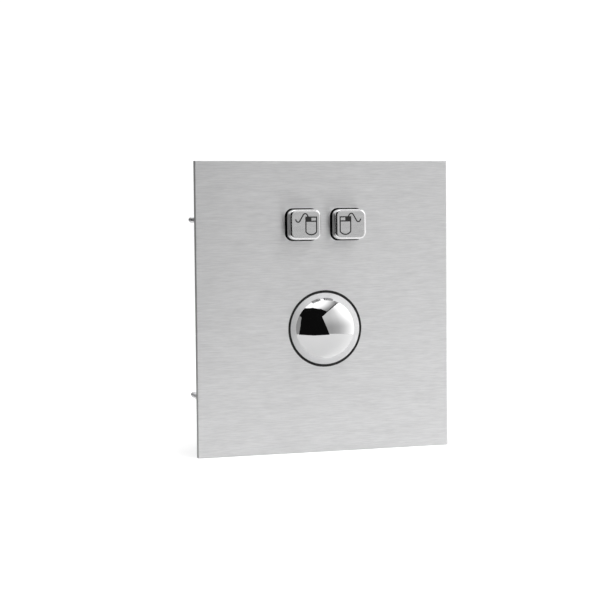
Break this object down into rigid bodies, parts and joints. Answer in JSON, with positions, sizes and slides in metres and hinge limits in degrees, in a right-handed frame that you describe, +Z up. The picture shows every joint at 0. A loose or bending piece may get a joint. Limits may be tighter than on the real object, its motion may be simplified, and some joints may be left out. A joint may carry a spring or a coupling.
{
  "type": "panel-mount trackball mouse",
  "caption": "Square steel panel with a polished trackball in a rubber wiper ring and a pair of click keys above it; encoders, key switches and boards behind.",
  "frame": {"origin": "centre of the front panel's rear face, on the plane that the panel studs stand on", "axes": "+X to the right seen from the front, +Y from the front face to the back along the studs, +Z up"},
  "size_m": [0.1264, 0.0546, 0.14],
  "materials": {
    "panel_steel": "fine horizontal brushing",
    "ball_steel": "mirror polished stainless steel",
    "wiper_rubber": "satin black",
    "gasket_foam": "closed-cell foam",
    "seal_rubber": "matt",
    "stud_steel": "rolled thread, bright",
    "fastener_zinc": "bright zinc plating",
    "housing_plastic": "fine moulded texture, black",
    "chassis_plastic": "fine moulded texture, dark grey",
    "shaft_steel": "ground and polished",
    "roller_steel": "ground",
    "bearing_steel": "polished bearing steel",
    "disc_metal": "etched, satin",
    "sensor_plastic": "semi-gloss black",
    "board_laminate": "green solder mask",
    "chip_epoxy": "moulded epoxy with tinned leads",
    "can_nickel": "drawn nickel",
    "capacitor_can": "drawn aluminium",
    "resistor_ceramic": "glazed body, tinned ends",
    "connector_nylon": "natural nylon",
    "pin_gold": "gold flash",
    "keycap_steel": "satin, fine horizontal brushing",
    "legend_paint": "black paint fill",
    "acetal": "machined acetal",
    "silicone": "translucent grey silicone",
    "carbon_pill": "carbon-loaded silicone",
    "ribbon_pvc": "grey ribbon with one marked edge",
    "plate_zinc": "zinc-plated sheet"
  },
  "bodies": {
    "panel": {"front_panel": "panel_steel", "panel_gasket": "gasket_foam", "panel_studs": "stud_steel", "wiper_ring": "wiper_rubber", "unit_seal": "seal_rubber", "ball_housing": "housing_plastic", "bearing_chassis": "chassis_plastic", "main_board": "board_laminate", "board_screws": "fastener_zinc", "controller_chip": "chip_epoxy", "crystal": "can_nickel", "capacitors": "capacitor_can", "resistors": "resistor_ceramic", "cable_header": "connector_nylon", "header_pins": "pin_gold", "unit_studs": "stud_steel", "unit_washers": "fastener_zinc", "unit_nuts": "fastener_zinc", "x_sensor": "sensor_plastic", "y_sensor": "sensor_plastic", "x_bearing_outer_rings": "bearing_steel", "y_bearing_outer_rings": "bearing_steel", "idler_bracket": "plate_zinc", "idler_pin": "shaft_steel", "idler_inner_ring": "bearing_steel", "key_seal": "seal_rubber", "key_housing": "housing_plastic", "key_board": "board_laminate", "key_backplate": "plate_zinc", "key_studs": "stud_steel", "key_washers": "fastener_zinc", "key_nuts": "fastener_zinc", "left_key_dome": "silicone", "right_key_dome": "silicone", "ribbon_cable": "ribbon_pvc", "key_ribbon_connector": "connector_nylon", "main_ribbon_connector": "connector_nylon"},
    "ball": {"ball": "ball_steel"},
    "idler": {"idler_outer_ring": "bearing_steel"},
    "idler_bearing_balls": {"idler_balls": "bearing_steel"},
    "x_bearing_cage": {"x_bearing_balls": "bearing_steel"},
    "y_bearing_cage": {"y_bearing_balls": "bearing_steel"},
    "x_encoder_shaft": {"x_shaft": "shaft_steel", "x_roller": "roller_steel", "x_encoder_disc": "disc_metal", "x_bearing_inner_rings": "bearing_steel"},
    "y_encoder_shaft": {"y_shaft": "shaft_steel", "y_roller": "roller_steel", "y_encoder_disc": "disc_metal", "y_bearing_inner_rings": "bearing_steel"},
    "left_key": {"left_keycap": "keycap_steel", "left_key_legend": "legend_paint", "left_key_plunger": "acetal", "left_key_pill": "carbon_pill"},
    "right_key": {"right_keycap": "keycap_steel", "right_key_legend": "legend_paint", "right_key_plunger": "acetal", "right_key_pill": "carbon_pill"}
  },
  "joints": [
    {"name": "ball_roll", "type": "hinge", "parent": "panel", "child": "ball", "pos_m": [0, 0.004, -0.0104], "axis": [0.7071, 0, 0.7071], "continuous": true},
    {"name": "x_shaft_spin", "type": "hinge", "parent": "panel", "child": "x_encoder_shaft", "pos_m": [0.01689, 0.01817, -0.0104], "axis": [0, 0, 1], "continuous": true},
    {"name": "y_shaft_spin", "type": "hinge", "parent": "panel", "child": "y_encoder_shaft", "pos_m": [0, 0.01817, -0.02729], "axis": [1, 0, 0], "continuous": true},
    {"name": "idler_spin", "type": "hinge", "parent": "panel", "child": "idler", "pos_m": [-0.01249, 0.01882, 0.00209], "axis": [0.7071, 0, 0.7071], "continuous": true},
    {"name": "x_bearing_balls_orbit", "type": "hinge", "parent": "panel", "child": "x_bearing_cage", "pos_m": [0.01689, 0.01817, -0.0104], "axis": [0, 0, 1], "continuous": true},
    {"name": "y_bearing_balls_orbit", "type": "hinge", "parent": "panel", "child": "y_bearing_cage", "pos_m": [0, 0.01817, -0.02729], "axis": [1, 0, 0], "continuous": true},
    {"name": "idler_balls_orbit", "type": "hinge", "parent": "panel", "child": "idler_bearing_balls", "pos_m": [-0.01249, 0.01882, 0.00209], "axis": [0.7071, 0, 0.7071], "continuous": true},
    {"name": "left_key_press", "type": "slide", "parent": "panel", "child": "left_key", "axis": [0, 1, 0], "range_m": [0, 0.0018], "stiffness_N_per_m": 444, "springref_m": -0.0009, "deforming": ["left_key_dome"]},
    {"name": "right_key_press", "type": "slide", "parent": "panel", "child": "right_key", "axis": [0, 1, 0], "range_m": [0, 0.0018], "stiffness_N_per_m": 444, "springref_m": -0.0009, "deforming": ["right_key_dome"]}
  ],
  "couplings": [
    {"joint": "x_shaft_spin", "follows": "ball_roll", "ratio": -4.4783},
    {"joint": "y_shaft_spin", "follows": "ball_roll", "ratio": -4.4783},
    {"joint": "idler_spin", "follows": "ball_roll", "ratio": -4.75},
    {"joint": "x_bearing_balls_orbit", "follows": "ball_roll", "ratio": -1.7416},
    {"joint": "y_bearing_balls_orbit", "follows": "ball_roll", "ratio": -1.7416},
    {"joint": "idler_balls_orbit", "follows": "ball_roll", "ratio": -2.9468}
  ]
}
